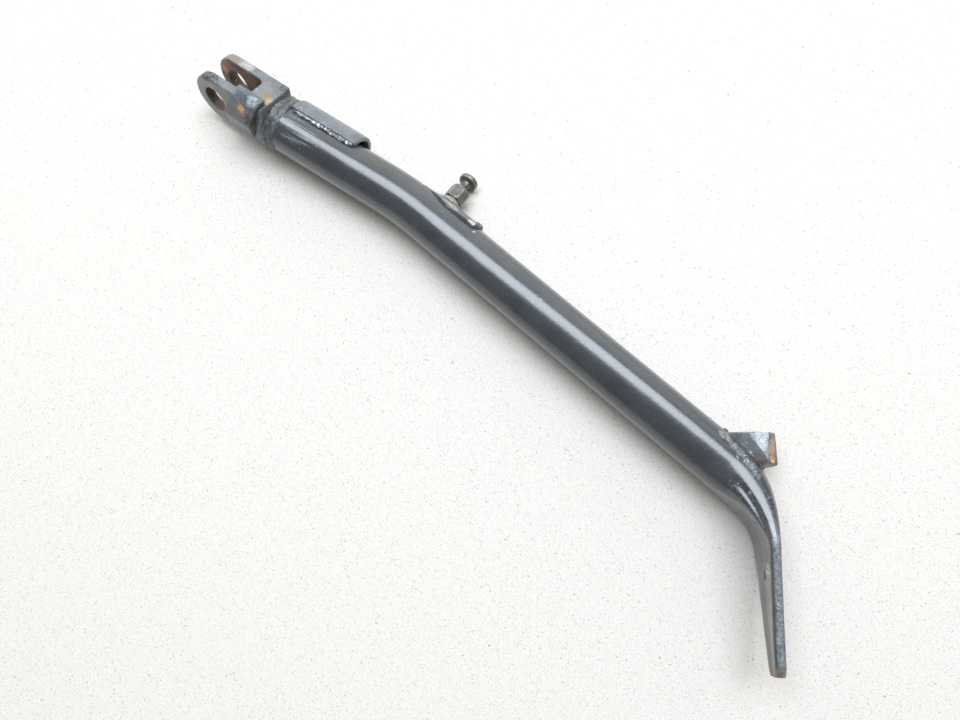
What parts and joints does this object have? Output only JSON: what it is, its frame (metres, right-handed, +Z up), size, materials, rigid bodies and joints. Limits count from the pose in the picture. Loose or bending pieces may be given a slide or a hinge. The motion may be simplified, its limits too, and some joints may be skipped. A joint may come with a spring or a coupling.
{
  "type": "motorcycle side stand",
  "caption": "Motorcycle side stand: bent steel tube with a forked pivot head, spring stud, kick lug and a pressed flat foot.",
  "frame": {"origin": "centre of the bounding box at floor level, with the stand lying on the floor", "axes": "+X from the forked head towards the foot, +Z up from the floor, +Y towards the side of the spring stud and the kick lug"},
  "size_m": [0.4004, 0.1304, 0.0379],
  "materials": {
    "black_paint": "gloss black paint over steel, worn and rusting at edges",
    "painted_weld": "weld bead under thin black paint, rougher, with rust",
    "worn_steel": "bare dirty steel"
  },
  "bodies": {
    "root": {"clevis_head": "black_paint", "kick_lug": "black_paint", "leg_tube": "black_paint", "spring_stud": "worn_steel", "stop_block": "black_paint", "stud_saddle": "black_paint", "tail_channel": "black_paint", "weld_channel_bottom": "painted_weld", "weld_channel_top": "painted_weld", "weld_lug_foot": "painted_weld", "weld_lug_leg": "painted_weld", "weld_ring": "painted_weld", "weld_saddle_far": "painted_weld", "weld_saddle_near": "painted_weld", "weld_stud": "painted_weld"}
  },
  "joints": []
}
